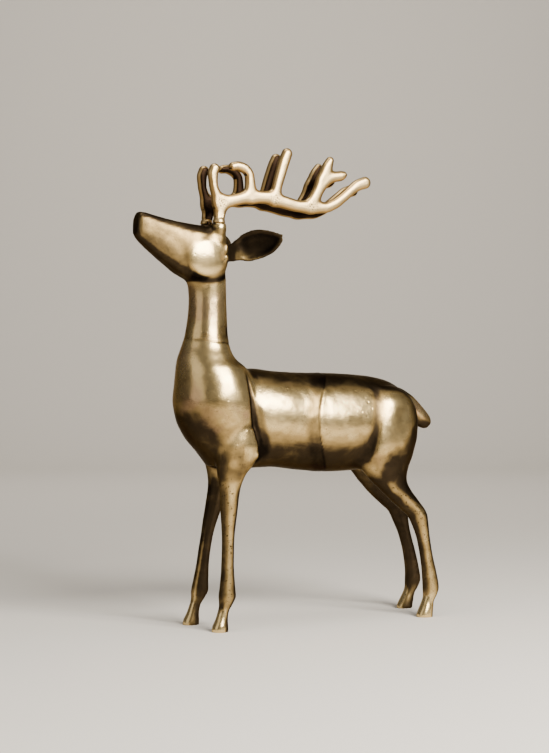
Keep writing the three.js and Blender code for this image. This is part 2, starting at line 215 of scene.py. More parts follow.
def earShell(side):
    # a leaf whose sections are crescents: a bulging back arc and a flatter, scooped front arc
    rows = [[i, *row] for i, row in enumerate(ears["sections"])]
    t = np.linspace(0, len(rows) - 1, 70)
    _, x, y, z, half = alongTable(rows, t).T
    centre = np.stack([x, y, z], 1)
    along = np.gradient(centre, axis=0)
    along /= np.linalg.norm(along, axis=1)[:, None]
    up = np.array([0, 0, 1.0]) - along * along[:, 2:3]
    up /= np.linalg.norm(up, axis=1)[:, None]
    inward = np.cross(along, up)
    inward *= np.where(inward[:, 1:2] < 0, -1, 1)
    leaf = half / half.max()
    wall = ears["wall"]
    back = ears["depth"] * leaf
    share = np.clip((t / t[-1] - 0.12) / 0.28, 0, 1)
    scoop = np.maximum(back / np.maximum(leaf, 0.2) - wall, 0) * share ** 2 * (3 - 2 * share) - wall * 0.5
    turn = np.linspace(-np.pi / 2, np.pi / 2, 24)
    outerArc = (centre[:, None] + up[:, None] * (half[:, None] * np.sin(turn))[:, :, None]
                + inward[:, None] * (back[:, None] * np.cos(turn))[:, :, None])
    rim = np.maximum(half - wall * 0.8, half * 0.45)
    dip = (-wall * 0.5 + (scoop[:, None] + wall * 0.5) * np.cos(turn)) * leaf[:, None]
    innerArc = (centre[:, None] + up[:, None] * (rim[:, None] * np.sin(turn))[:, :, None]
                + inward[:, None] * dip[:, :, None])
    rings = np.concatenate([outerArc, innerArc[:, ::-1]], 1)
    rings[..., 1] *= -side
    return shell(rings)


tail = {
    "sections": [  # x, height, half thickness, half width
        [366, 384, 14, 12], [386, 379, 17, 14], [404, 368.5, 16.5, 14.5], [420, 355, 15.8, 14],
        [433, 343, 15.2, 13], [443, 334.5, 13, 11], [449, 328, 7.5, 6.5]],
}


def roundTube(sections, count, steps, power=2.0):
    # round sections square to a line in the upright middle plane
    rows = [[i, *row] for i, row in enumerate(sections)]
    t = np.linspace(0, len(rows) - 1, steps)
    _, x, z, thick, half = alongTable(rows, t).T[:, :, None]
    along = np.stack([np.gradient(x[:, 0]), np.gradient(z[:, 0])], 1)
    along /= np.linalg.norm(along, axis=1)[:, None]
    a, b = roundedOutline(count, power)
    return shell(np.stack([x - along[:, 1:2] * a * thick, np.broadcast_to(b * half, (steps, count)),
                           z + along[:, 0:1] * a * thick], 2))


cheeks = {
    "middle": [3.0, 27.5, 614.0],  # of the round swelling at the angle of the jaw, left side mirrored
    "radii": [39.0, 11.0, 37.0],
    "temple": [[27, 24, 645], [14, 11.5, 27]],  # middle and radii of the swelling under each antler's collar
}
elbow = {
    "middle": [75.0, 57.0, 291.0],  # of the knob at the back of the elbow, left side mirrored
    "radii": [11.0, 9.0, 13.0],
}


def ballShell(centre, radii):
    # an ellipsoid by latitude and longitude
    lat = np.linspace(-np.pi / 2 + 0.02, np.pi / 2 - 0.02, 20)[:, None]
    lon = 2 * np.pi * np.arange(24) / 24
    unit = np.stack([np.cos(lat) * np.cos(lon), np.cos(lat) * np.sin(lon), np.sin(lat) + 0 * lon], 2)
    return shell(np.array(centre) + unit * np.array(radii))


antlers = {
    "branches": {  # x, height, half width along the middle of each branch, from its seat on the skull
        "root": [[1, 12, 9], [3, 24, 9.5], [4, 36, 11.5]],
        "browTine": [[2, 32, 10], [-3.5, 44, 8], [-10, 64, 7.3], [-11, 80, 8.4], [-8, 90, 8.6]],
        "beam": [[2, 33, 11], [32, 40, 10], [60, 46, 10.5], [92, 46, 10.5], [122, 39, 10.5], [150, 33.5, 10],
                 [177, 32.5, 10.5], [198, 32.5, 9.3], [218, 39.5, 9], [236, 52, 8.6], [252, 65, 8.6],
                 [265, 73.5, 9.8], [278.5, 78.2, 10.4]],
        "curl": [[59, 46, 11], [58, 64, 9], [56.5, 81, 8], [47, 92.5, 8.2], [34, 96.3, 7.6], [26, 95, 7]],
        "highTine": [[103, 42, 10], [108, 63, 8.6], [114.5, 85, 9.2], [122, 108, 9.5], [127.3, 121, 9]],
        "fork": [[172, 34, 11], [187, 61, 10], [198, 82, 11], [204, 100, 9.5], [210, 113, 6.6]],
        "forkSpur": [[196, 78, 10], [214, 85, 9], [229, 87.5, 8.6], [236.5, 90, 5.8]]},
    "thickness": 14.0,
    "voxel": 1.15,                # mm between the points of the skin
    "seatX": 28.0,
    "spread": 24.0,               # from the middle plane to the middle of each plate
    "collarRise": 8.5,            # from the crown up to the seat
    "edgeRounding": 5.2,
    "web": 3.4,                   # how far the forks are filled
    "rightDroop": 2.0,            # degrees that the right antler sinks to the rear
    "pedicle": 24.0,              # diameter of the collar that each antler stands on
    "cushion": 0.9,               # how far the faces fall away to their edges
    "cushionWidth": 9.0,
    "unevenness": [[0.20, 18], [0.03, 6]],  # height and size of the lumps of the cast skin
    "pitted": ["beam", "highTine", "fork"],  # branches that start in a patch of casting pits
}


def seatTransform(points, side):
    # from an antler's own frame to the statue's: tipped back on the right side, then set on its seat
    x = antlers["seatX"]
    z = alongTable(head["sections"], [x])[0, 1] + antlers["collarRise"]
    turn = math.radians(antlers["rightDroop"]) if side > 0 else 0.0
    c, s = math.cos(turn), math.sin(turn)
    return np.stack([points[:, 0] * c + points[:, 2] * s + x, points[:, 1] + side * antlers["spread"],
                     -points[:, 0] * s + points[:, 2] * c + z], 1)


def turnedShell(profile, count=48):
    # a profile of radius and height turned about the upright axis
    radius, height = np.array(profile, float).T[:, :, None]
    turn = 2 * np.pi * np.arange(count) / count
    return shell(np.stack([radius * np.cos(turn), radius * np.sin(turn), height + 0 * turn], 2))


def pedicleShell(side):
    # the turned collar that an antler stands on
    r = antlers["pedicle"] / 2
    profile = [[r * 0.9, -22], [r * 1.02, -15], [r * 1.08, -8], [r, -3], [r * 0.93, -0.8], [r * 0.84, 0]]
    points, faces = turnedShell(profile)
    return seatTransform(points, side), faces


def branchShell(rows):
    # a flat strip along a branch's middle line, with rounded edges and a half-round end on both sides
    steps = [[i, *row] for i, row in enumerate(rows)]
    t = np.linspace(0, len(rows) - 1, 16 * len(rows))
    _, x, z, half = alongTable(steps, t).T
    line = np.stack([x, z], 1)
    along = np.gradient(line, axis=0)
    along /= np.linalg.norm(along, axis=1)[:, None]
    bow = np.linspace(0, np.pi / 2, 9)[:-1]
    start = line[0] - along[0] * half[0] * np.cos(bow)[:, None]
    end = line[-1] + along[-1] * half[-1] * np.cos(bow[::-1])[:, None]
    line = np.concatenate([start, line, end])
    along = np.concatenate([np.repeat(along[:1], 8, 0), along, np.repeat(along[-1:], 8, 0)])
    half = np.concatenate([half[0] * np.sin(bow) + 0.2, half, half[-1] * np.sin(bow[::-1]) + 0.2])
    a, b = roundedOutline(40, 3.2)
    side = np.stack([-along[:, 1], along[:, 0]], 1)
    xz = line[:, None] + side[:, None] * (a * half[:, None])[:, :, None]
    flat = np.broadcast_to(b * antlers["thickness"] / 2, xz.shape[:2])
    return shell(np.stack([xz[..., 0], flat, xz[..., 1]], 2))


def bell(distance, width):
    # exp(-(distance / width) squared)
    return np.exp(-(distance / width) ** 2)


def step(value, low, high):
    # t * t * (3 - 2t), with t from 0 at low to 1 at high
    t = np.clip((value - low) / (high - low), 0, 1)
    return t * t * (3 - 2 * t)


def plateEdge(xz):
    # distance to the outline of the whole plate: each branch is a row of closely set discs, and the branches'
    # distances are run together by a smooth minimum, which leaves a web in every fork
    total = np.zeros(len(xz))
    for rows in antlers["branches"].values():
        steps = [[i, *row] for i, row in enumerate(rows)]
        _, x, z, half = alongTable(steps, np.linspace(0, len(rows) - 1, 14 * len(rows))).T.astype(np.float32)
        away = np.sqrt((xz[:, :1] - x) ** 2 + (xz[:, 1:] - z) ** 2) - half
        total += np.exp(-away.min(1) / antlers["web"])
    return -antlers["web"] * np.log(total)


def plateDistance(points):
    # distance to the plate's skin: the outline drawn out to the thickness, with rounded edges
    r = antlers["edgeRounding"]
    out = plateEdge(points[:, [0, 2]].astype(np.float32)) + r
    over = np.abs(points[:, 1]) - (antlers["thickness"] / 2 - r)
    return np.hypot(np.maximum(out, 0), np.maximum(over, 0)) + np.minimum(np.maximum(out, over), 0) - r


def ontoPlate(points, rounds):
    # each point slides down the slope of that distance until it lies on the skin; the foot is left alone
    free = step(points[:, 2], 6, 14)
    for _ in range(rounds):
        here = plateDistance(points)
        slope = np.stack([(plateDistance(points + nudge) - here) / 0.2 for nudge in np.eye(3) * 0.2], 1)
        reach = np.clip(here, -2.5, 2.5) * free / np.maximum((slope ** 2).sum(1), 0.25)
        points = points - slope * reach[:, None]
    return points


def joined(shells):
    # shells in one list: the faces of each count on from the points before it
    points, faces, offset = [], [], 0
    for verts, quads in shells:
        points.append(verts)
        faces += [[i + offset for i in face] for face in quads]
        offset += len(verts)
    return np.concatenate(points), faces


def fused(name, shells, voxel):
    # overlapping closed shells become one skin of even quads
    points, faces = joined(shells)
    mesh = bpy.data.meshes.new(name)
    mesh.from_pydata(points.tolist(), [], faces)
    piece = bpy.data.objects.new(name, mesh)
    bpy.context.collection.objects.link(piece)
    remesh = piece.modifiers.new("fuse", "REMESH")
    remesh.mode = "VOXEL"
    remesh.voxel_size = voxel
    seen = bpy.context.evaluated_depsgraph_get()
    skinMesh = bpy.data.meshes.new_from_object(piece.evaluated_get(seen))
    piece.modifiers.clear()
    piece.data = skinMesh
    return piece


def pointsOf(mesh):
    # a mesh's points as rows of x, y and z
    points = np.empty(len(mesh.vertices) * 3)
    mesh.vertices.foreach_get("co", points)
    return points.reshape(-1, 3)


def quadsOf(mesh):
    # the four point numbers of every face
    corners = np.empty(len(mesh.loops), np.int64)
    mesh.loops.foreach_get("vertex_index", corners)
    return corners.reshape(-1, 4)


def normalsOf(points, quads):
    # the cross product of each quad's diagonals, summed at its corners and made one long
    face = np.cross(points[quads[:, 2]] - points[quads[:, 0]], points[quads[:, 3]] - points[quads[:, 1]])
    total = np.stack([np.bincount(quads.ravel(), np.repeat(face[:, k], 4), len(points)) for k in range(3)], 1)
    return total / np.maximum(np.linalg.norm(total, axis=1), 1e-9)[:, None]


class Neighbours:
    # the mean of any value over each point's neighbours
    def __init__(self, quads, count):
        pairs = np.concatenate([quads[:, [k, (k + 1) % 4]] for k in range(4)])
        pairs = np.unique(np.sort(pairs, 1), axis=0)
        self.a = np.concatenate([pairs[:, 0], pairs[:, 1]])
        self.b = np.concatenate([pairs[:, 1], pairs[:, 0]])
        self.count = count
        self.number = np.maximum(np.bincount(self.a, minlength=count), 1)

    def mean(self, values):
        if values.ndim == 1:
            return np.bincount(self.a, values[self.b], self.count) / self.number
        return np.stack([self.mean(values[:, k]) for k in range(values.shape[1])], 1)


def smoothed(points, near, weight, rounds):
    # alternate pulling in and pushing out, so that the skin is smoothed and doesn't shrink
    for _ in range(rounds):
        points = points + 0.5 * weight * (near.mean(points) - points)
        points = points - 0.52 * weight * (near.mean(points) - points)
    return points


def filleted(points, quads, near, weight, rounds):
    # hollows are filled and ridges left alone: a point moves only outwards, by how far it lies in a hollow
    for _ in range(rounds):
        normals = normalsOf(points, quads)
        pull = near.mean(points) - points
        hollow = np.maximum(np.einsum("ij,ij->i", pull, normals), 0)
        points = points + (0.9 * hollow * weight)[:, None] * normals
    return points


def latticeNoise(points, size, seed):
    # random values on a cubic lattice, blended smoothly between its corners; runs from -1 to 1
    table = np.random.default_rng(seed).uniform(-1, 1, 4096)
    scaled = points / size
    cell = np.floor(scaled).astype(np.int64)
    t = scaled - cell
    t = t * t * (3 - 2 * t)
    value = np.zeros(len(points))
    for corner in range(8):
        bits = np.array([corner & 1, corner >> 1 & 1, corner >> 2 & 1])
        key = cell + bits
        index = (key[:, 0] * 73856093 ^ key[:, 1] * 19349663 ^ key[:, 2] * 83492791) % 4096
        value += table[index] * np.prod(np.where(bits, t, 1 - t), axis=1)
    return value


def settle(piece, points, attributes):
    # millimetres from the toes to metres in the frame, with the skin's attributes
    mesh = piece.data
    placed = (points + np.array([toOrigin, 0, 0])) / 1000.0
    mesh.vertices.foreach_set("co", placed.astype(np.float32).ravel())
    for name, values in attributes.items():
        attribute = mesh.attributes.new(name, "FLOAT", "POINT")
        attribute.data.foreach_set("value", np.clip(values, 0, 1).astype(np.float32))
    mesh.polygons.foreach_set("use_smooth", np.ones(len(mesh.polygons), bool))
    mesh.update()


bodySkin = {
    "voxel": 2.5,           # mm between the points of the skin
    "filletRounds": 51,     # how far the joints of the limbs are filled
    "creaseRounds": 4,      # how far the shoulder crease is filled
    "creaseDepth": 0.16,    # a hollow of this many mm from one point to the next holds all its patina
    "unevenness": 0.75,     # of the cast skin, over a finger's width
    "haunchRise": 3.9,      # how far the thigh stands out of the barrel
    "shoulderDepth": 3.0,   # of the crease behind the shoulder
    "hollowDepth": 1.6,     # of the hollow between that crease and the barrel
    "shoulderLine": [       # height, x of the crease behind the shoulder
        [278, 89.0], [300, 86.0], [328, 77.0], [350, 72.0], [370, 69.3], [420, 67.0]],
    "haunchLine": [[275, 295.0], [302, 303.0], [390, 316.0]],  # height, x of the thigh's front edge
    "thighLine": [316.0, 271.0, 0.92],  # x and height of a slanted line below which the lower thigh is darker, and its slope
    "gaskinLine": [[330, 229.0], [361, 208.0], [398, 187.0]],  # x, height of the painted highlight stripe above the hock
}
seams = {
    "grooveDepth": 1.0,
    "neckHeight": 477.5,    # of the groove round the neck, where x is 0
    "neckFall": 0.13,       # how far it falls for each mm towards the tail
    "neckWidth": 1.3,
    "bandMiddle": 219.0,    # x of the belt round the barrel, on the back's middle line
    "bandBow": 36.0,        # how far the belt bows forward
    "bandReach": 68.0,      # at this distance from the middle plane
    "bandEdge": 13.0,       # from there to the belt's rear edge, which has a groove
    "bandWidth": 1.5,
}


def zonesOf(points):
    # the part of the animal that each point belongs to, from 0 to 1: products of soft steps along x, z and
    # the distance from the middle plane
    x, y, z = points.T
    side = np.abs(y)
    legTops = (1 - step(np.abs(x - 46), 26, 38)) * (1 - step(z, 290, 318))
    legTops += (1 - step(np.abs(x - 342), 44, 62)) * (1 - step(z, 272, 300))
    return {
        "head": step(z, 572, 584) * (1 - step(x, 44, 56)) * (1 - step(side, 40, 46)),
        "ear": step(side, 31, 36) * step(z, 590, 600) * step(x, 37, 44),
        "trunk": step(z, 232, 262) * (1 - step(z, 560, 578)),
        "legs": 1 - step(z, 225, 262),
        "legTops": legTops * step(side, 16, 30),
        "neck": 1 - step(x, 64, 72),
    }


def reliefOf(points, zones):
    # where each low form of the skin lies, from 0 to 1: a bell across a groove, a soft step across an edge
    x, y, z = points.T
    side = np.abs(y)
    onNeck = zones["neck"] * (0.4 + 0.6 * step(x, 5, 28))
    onBarrel = step(x, 120, 150) * (1 - step(x, 260, 290)) * step(z, 235, 250)
    onFlank = step(side, 36, 54) * step(z, 262, 285) * (1 - step(z, 395, 412))
    onShoulder = step(side, 22, 42) * step(z, 262, 285) * (1 - step(z, 412, 432))
    bandPlace = x - (seams["bandMiddle"] - seams["bandBow"] * (y / seams["bandReach"]) ** 2)
    bandEdge = seams["bandEdge"]
    behindShoulder = x - alongTable(bodySkin["shoulderLine"], z)[:, 1]
    hollowWidth = 2 + 17 * (1 - step(z, 350, 395))
    hollow = step(behindShoulder, 0, 4) * (1 - step(behindShoulder - hollowWidth, -7, 5))
    behindHaunch = x - alongTable(bodySkin["haunchLine"], z)[:, 1]
    haunchShade = step(behindHaunch, -48, -4) * (1 - step(behindHaunch, -3, 4)) * (1 - step(z, 290, 338))
    mottle = latticeNoise(points, 13, 31)
    thighX, thighZ, slope = bodySkin["thighLine"]
    belowThigh = slope * (x - thighX) + thighZ - z + 8 * mottle
    lowThigh = step(side, 24, 40) * step(x, 308, 326) * step(belowThigh, -9, 15) * step(z, 168, 205)
    # painted highlight: a stripe along the gaskin above the hock
    gaskinHighlight = bell(z - alongTable(bodySkin["gaskinLine"], x)[:, 1], 10) * step(side, 48, 58)
    return {
        "neckSeam": bell(z - (seams["neckHeight"] - seams["neckFall"] * x), seams["neckWidth"]) * onNeck,
        "band": onBarrel * step(bandPlace, -20, -3) * (1 - step(bandPlace, bandEdge - 2.5, bandEdge)),
        "bandSeam": onBarrel * bell(bandPlace - bandEdge, seams["bandWidth"]),
        "shoulderCut": onShoulder * bell(behindShoulder, 3.2),
        "shoulderShade": onShoulder * bell(behindShoulder - 0.5, 4.6),
        "shoulderHollow": onFlank * hollow,
        "haunchSwell": onFlank * step(behindHaunch, -9, 8) * (1 - step(behindHaunch, 8, 50)),
        # painted shade in front of the thigh's edge and under the haunch
        "haunchPaintedShade": onFlank * bell(behindHaunch + 6, 8),
        "haunchShade": onFlank * haunchShade,
        "lowThigh": lowThigh,
        "mottle": mottle,
        "gaskinHighlight": gaskinHighlight * step(x, 320, 340) * (1 - step(x, 398, 410)),
    }


def liftOf(points, relief):
    # how far the skin moves along its normals: lattice noise for the cast unevenness, plus the low forms
    z = points[:, 2]
    lumps = latticeNoise(points, 34, 3) + 0.9 * latticeNoise(points, 62, 9)
    ripples = latticeNoise(points, 11, 5)
    slender = 1 - 0.6 * (1 - step(z, 200, 250))
    lift = bodySkin["unevenness"] * (lumps * 0.75 + ripples * 0.28) * slender
    lift += relief["band"] * (0.35 + 0.40 * latticeNoise(points, 12, 8))
    lift -= seams["grooveDepth"] * (0.8 * relief["neckSeam"] + 0.45 * relief["bandSeam"])
    lift += bodySkin["haunchRise"] * relief["haunchSwell"]
    lift -= bodySkin["shoulderDepth"] * relief["shoulderCut"]
    lift -= bodySkin["hollowDepth"] * relief["shoulderHollow"]
    return lift * step(z, 1.0, 6.0)


patinaAndPaintedLight = {  # how much is rubbed away (+) or left (-) in each place, together with painted highlights (+) and painted shade (-): 0 is brown, 1 is bare brass
    "start": 0.80,          # the buffed flanks
    # painted shade on faces that look up and down, deepest under the belly
    "tops": -0.30, "back": -0.44, "belly": -1.0, "undersides": -0.45,
    # painted shade on the chest's front and low breast, and on faces that look back at the rump
    "breastFront": -0.18, "lowBreast": -0.26, "breast": -0.10, "rear": -0.40, "rump": -0.60,
    # painted shade at the front of the thigh and under the haunch, then the darker lower thigh and the belt's
    # own tone
    "haunchShade": -0.50, "haunchPaintedShade": -0.66, "lowThigh": -0.40, "lowThighMottle": -0.20, "band": -0.14,
    "neckStain": -0.35, "neckPatch": -0.32, "tailTip": -0.60,
    # the head's own tone, a painted highlight on the cheek, and painted shade on the bridge, under the jaw
    # and on the nose
    "head": -0.38, "muzzle": -0.16, "cheek": 0.46, "bridge": -0.55, "jaw": -0.60, "nose": -0.70,
    # the ear's own patina, then painted highlights in the ear's scoop and on the antlers' collars
    "ear": -0.68, "earHighlight": 0.45, "collar": 0.75,
    # darker leg tops with blotches, then painted shade on the shins, the calves and the insides of the legs
    "legTops": -0.20, "legTopMottle": -0.22, "shins": -0.50, "calves": -0.66, "insideLegs": -0.62,
    # a painted shadow on the hind shanks, then painted highlights on the gaskin, the shins, the hooves and
    # the elbows
    "hindShankShadow": -0.20, "gaskinHighlight": 0.34, "shinHighlight": 0.95, "hoof": 1.10, "elbow": 0.40,
}


def trunkTone(place, normals, zones, relief):
    # brown where the trunk looks up, down, forward or back, by soft steps of the normal's own parts
    x, _, z = place.T
    nx, _, nz = normals.T
    # painted shade on faces that look up
    tone = patinaAndPaintedLight["back"] * step(nz, 0.44, 0.82)
    # painted shade under the belly
    tone += patinaAndPaintedLight["belly"] * step(-nz, -0.06, 0.76) * (1 - 0.85 * zones["legTops"])
    # painted shade on the chest's front, low on the breast and on faces that look back
    tone += patinaAndPaintedLight["breastFront"] * step(-nx, 0.84, 1.0) + patinaAndPaintedLight["rear"] * step(nx, 0.45, 0.92)
    tone += patinaAndPaintedLight["rump"] * step(nx, 0.12, 0.60) * step(x, 345, 372) * (1 - step(x, 402, 412))
    tone += patinaAndPaintedLight["lowBreast"] * step(-nx, 0.35, 0.90) * (1 - step(z, 340, 392)) * (1 - step(x, 16, 50))
    tone += patinaAndPaintedLight["breast"] * (1 - step(x, 56, 66)) * (1 - step(z, 345, 402))
    tone *= zones["trunk"]
    # painted shade at the front of the thigh and under the haunch, with the darker lower thigh and the belt's
    # own tone
    for name in ("haunchShade", "haunchPaintedShade", "lowThigh", "band"):
        tone += patinaAndPaintedLight[name] * relief[name]
    tone += patinaAndPaintedLight["lowThighMottle"] * relief["lowThigh"] * relief["mottle"]
    stain = bell(z - (494 - seams["neckFall"] * x), 13) * step(relief["stains"], 0.05, 0.5)
    tone += patinaAndPaintedLight["neckStain"] * stain * zones["neck"]
    tone += patinaAndPaintedLight["neckPatch"] * bell(np.hypot((x - 38) / 12, (z - 491) / 14), 1)
    return tone + patinaAndPaintedLight["tailTip"] * bell(np.hypot(x - 441, z - 330), 13)


def headTone(place, normals, zones, inwards):
    # a painted highlight disc on the cheek, painted shade on the bridge, jaw and nose, and painted highlights
    # low in the scoop of the ear and on the outer side of each antler's collar
    x, y, z = place.T
    nx, _, nz = normals.T
    cheekX, _, cheekZ = cheeks["middle"]
    cheekLong, _, cheekTall = cheeks["radii"]
    # painted highlight: a bright disc on the cheek
    disc = 1 - step(np.hypot((x - cheekX) / cheekLong, (z - cheekZ) / cheekTall), 0.66, 0.98)
    tone = patinaAndPaintedLight["head"] + patinaAndPaintedLight["cheek"] * disc + patinaAndPaintedLight["muzzle"] * (1 - step(x, -34, -8))
    # painted shade on the top of the head and under the jaw
    tone += patinaAndPaintedLight["bridge"] * step(nz, 0.20, 0.55) + patinaAndPaintedLight["jaw"] * step(-nz, 0.34, 0.60)
    # painted shade on the front of the nose
    tone = zones["head"] * (tone + patinaAndPaintedLight["nose"] * step(-nx, 0.5, 0.78))
    # painted highlight low in the scoop of the ear
    glow = bell(np.hypot((x - 62) / 17, (z - 616) / 9), 1)
    tone += zones["ear"] * (patinaAndPaintedLight["ear"] + patinaAndPaintedLight["earHighlight"] * glow)
    # painted highlight on the outer side of each antler's collar
    fromSeat = np.hypot(x - antlers["seatX"], np.abs(y) - antlers["spread"])
    collar = (1 - step(fromSeat, 13, 17)) * step(z, 658, 668) * (1 - step(inwards, 0.3, 0.8))
    return tone + patinaAndPaintedLight["collar"] * collar


def hoofOf(place, normals):
    # the lowest finger's width of each leg, its upper faces left out
    return (1 - step(place[:, 2], 24, 42)) * (1 - step(normals[:, 2], 0.5, 0.9))


def legTone(place, normals, zones, relief, inwards):
    # painted shade on the shins, the calves and the insides, with painted highlight stripes, hooves and
    # elbows, and a painted shadow on the hind shanks
    x, y, z = place.T
    nx = normals[:, 0]
    legTops = zones["legTops"]
    tone = patinaAndPaintedLight["legTops"] * legTops
    blotches = step(relief["blotches"], -0.2, 0.5) * step(z, 212, 256)
    tone += patinaAndPaintedLight["legTopMottle"] * legTops * blotches
    # painted shade on the legs' front and rear faces and on their insides
    sides = patinaAndPaintedLight["shins"] * step(-nx, 0.32, 0.88) + patinaAndPaintedLight["calves"] * step(nx, 0.0, 0.75)
    tone += zones["legs"] * (sides + patinaAndPaintedLight["insideLegs"] * step(inwards, 0.2, 0.7))
    # painted shadow over the hind shanks, left off where the gaskin's painted highlight lies
    hindShankShadow = step(x, 300, 330) * (1 - step(z, 225, 262)) * step(z, 36, 52)
    tone += patinaAndPaintedLight["gaskinHighlight"] * relief["gaskinHighlight"] + patinaAndPaintedLight["hindShankShadow"] * hindShankShadow * (1 - relief["gaskinHighlight"])
    # painted highlight: a bright stripe down the front legs' shins
    stripe = bell(np.hypot(nx + 0.76, inwards - 0.62), 0.24)
    tone += patinaAndPaintedLight["shinHighlight"] * stripe * (1 - step(z, 110, 215)) * (1 - step(x, 90, 120))
    # painted highlight on the front of each hoof
    tone += patinaAndPaintedLight["hoof"] * hoofOf(place, normals) * step(-nx, -0.35, 0.30) * (1 - step(inwards, 0.55, 0.92))
    # painted highlight on the knob at the back of each elbow
    elbowX, elbowY, elbowZ = elbow["middle"]
    away = np.sqrt((x - elbowX + 4) ** 2 + (np.abs(y) - elbowY) ** 2 + (z - elbowZ - 2) ** 2)
    return tone + patinaAndPaintedLight["elbow"] * bell(away, 18)


def bodyShells():
    # every closed shell of the body, the paired ones mirrored in the middle plane
    shells = [chestShell(), barrelShell(), headShell(), roundTube(tail["sections"], 48, 60)]
    for side in (-1, 1):
        shells += [legShell(frontLegs, side), legShell(hindLegs, side), earShell(side), pedicleShell(side)]
        x, y, z = elbow["middle"]
        behind = alongTable(frontLegs["rightShift"], [z])[0, 1] if side > 0 else 0.0
        shells.append(ballShell([x + behind, side * y, z], elbow["radii"]))
        x, y, z = cheeks["middle"]
        shells.append(ballShell([x, side * y, z], cheeks["radii"]))
        (x, y, z), reach = cheeks["temple"]
        shells.append(ballShell([x, side * y, z], reach))
    return shells


def softened(points, quads, near):
    # the joints of the limbs are filleted, but less at the shoulder, the haunch and the ears, whose edges
    # stay crisp in the casting; the soles stay flat
    x, y, z = points.T
    side = np.abs(y)
    points = smoothed(points, near, step(z, 1.0, 4.0)[:, None], 3)
    shoulder = bell(x - 80, 34) * step(z, 262, 284) * (1 - step(z, 330, 385)) * step(side, 22, 34)
    haunch = step(x, 275, 290) * (1 - step(x, 330, 345)) * step(z, 262, 285) * step(side, 30, 45)
    ear = step(z, 592, 600) * step(x, 30, 45) * step(side, 40, 46)
    keep = np.clip(1 - shoulder - 0.75 * haunch - ear, 0, 1) * step(z, 2, 6)
    points = filleted(points, quads, near, keep, bodySkin["filletRounds"])
    return filleted(points, quads, near, step(z, 2, 6), bodySkin["creaseRounds"])


def makeBody():
    # shells, then one fused skin, then its low forms, then how far its patina is worn, with painted light and
    # shade in the same values
    piece = fused("reindeerSkin", bodyShells(), bodySkin["voxel"])
    points = pointsOf(piece.data)
    quads = quadsOf(piece.data)
    near = Neighbours(quads, len(points))
    report(f"body fused, {len(points)} points")
    place = softened(points, quads, near)
    normals = normalsOf(place, quads)
    hollow = np.einsum("ij,ij->i", near.mean(place) - place, normals)
    for _ in range(3):
        hollow = near.mean(hollow)
    creaseAndShade = np.clip(hollow / bodySkin["creaseDepth"], 0, 1)
    zones = zonesOf(place)
    relief = reliefOf(place, zones)
    points = place + normals * liftOf(place, relief)[:, None]
    sole = place[:, 2] < 1.0
    points[:, 2] = np.where(sole, np.clip(points[:, 2], 0.0, 1.2), points[:, 2])

    relief["stains"] = latticeNoise(points, 15, 21)
    relief["blotches"] = latticeNoise(points, 12, 41)
    normals = normalsOf(points, quads)
    inwards = -np.sign(place[:, 1]) * normals[:, 1]
    up = normals[:, 2]
    # painted shade on faces that look up
    buffAndPaintedLight = patinaAndPaintedLight["start"] + patinaAndPaintedLight["tops"] * step(up, 0.44, 0.82)
    # painted shade on faces that look down, off the trunk
    buffAndPaintedLight += patinaAndPaintedLight["undersides"] * step(-up, 0.2, 0.8) * (1 - zones["trunk"])
    buffAndPaintedLight += trunkTone(place, normals, zones, relief)
    buffAndPaintedLight += headTone(place, normals, zones, inwards)
    buffAndPaintedLight += legTone(place, normals, zones, relief, inwards)
    x, y, z = place.T
    # painted shade under the jaw, added to the crease value with painted shade along the shoulder's crease
    # and in the hollow behind it; the seams are the casting's own dark joints
    underJaw = bell(z - (574.5 + 0.011 * (x - 12) ** 2), 5.0) * (1 - step(np.abs(y), 33, 37))
    creaseAndShade = creaseAndShade * (1 - 0.5 * zones["legs"]) + underJaw * step(x, -24, -16) + relief["shoulderShade"]
    creaseAndShade += 0.8 * relief["neckSeam"] + 0.5 * relief["bandSeam"] + 0.55 * relief["shoulderHollow"]
    hoof = hoofOf(place, normals)
    attributes = {
        "buffAndPaintedLight": buffAndPaintedLight,
        "creaseAndShade": creaseAndShade,
        "band": relief["band"],
        "spots": 0.22 + 0.6 * zones["legs"] * (1 - hoof) + 0.25 * zones["legTops"],
    }
    settle(piece, points, attributes)
    report("body finished")
    return piece


def antlerForm():
    # the bare form that both antlers are cast from: fused strips, drawn onto the plate's rounded skin
    shells = [branchShell(rows) for rows in antlers["branches"].values()]
    r = antlers["pedicle"] / 2
    foot = [[r * 0.8, 0.3], [r * 0.87, 0.9], [r * 0.84, 3.5], [r * 0.75, 8], [r * 0.62, 14]]
    shells.append(turnedShell(foot))
    piece = fused("antlerForm", shells, antlers["voxel"])
    points = pointsOf(piece.data)
    quads = quadsOf(piece.data)
    near = Neighbours(quads, len(points))
    points = ontoPlate(points, 5)
    points = smoothed(points, near, step(points[:, 2], 2, 6)[:, None], 4)
    points = ontoPlate(points, 1)
    points = filleted(points, quads, near, np.ones(len(points)), 6)
    mesh = piece.data
    bpy.data.objects.remove(piece)
    report(f"antler form, {len(points)} points")
    return mesh, points, quads


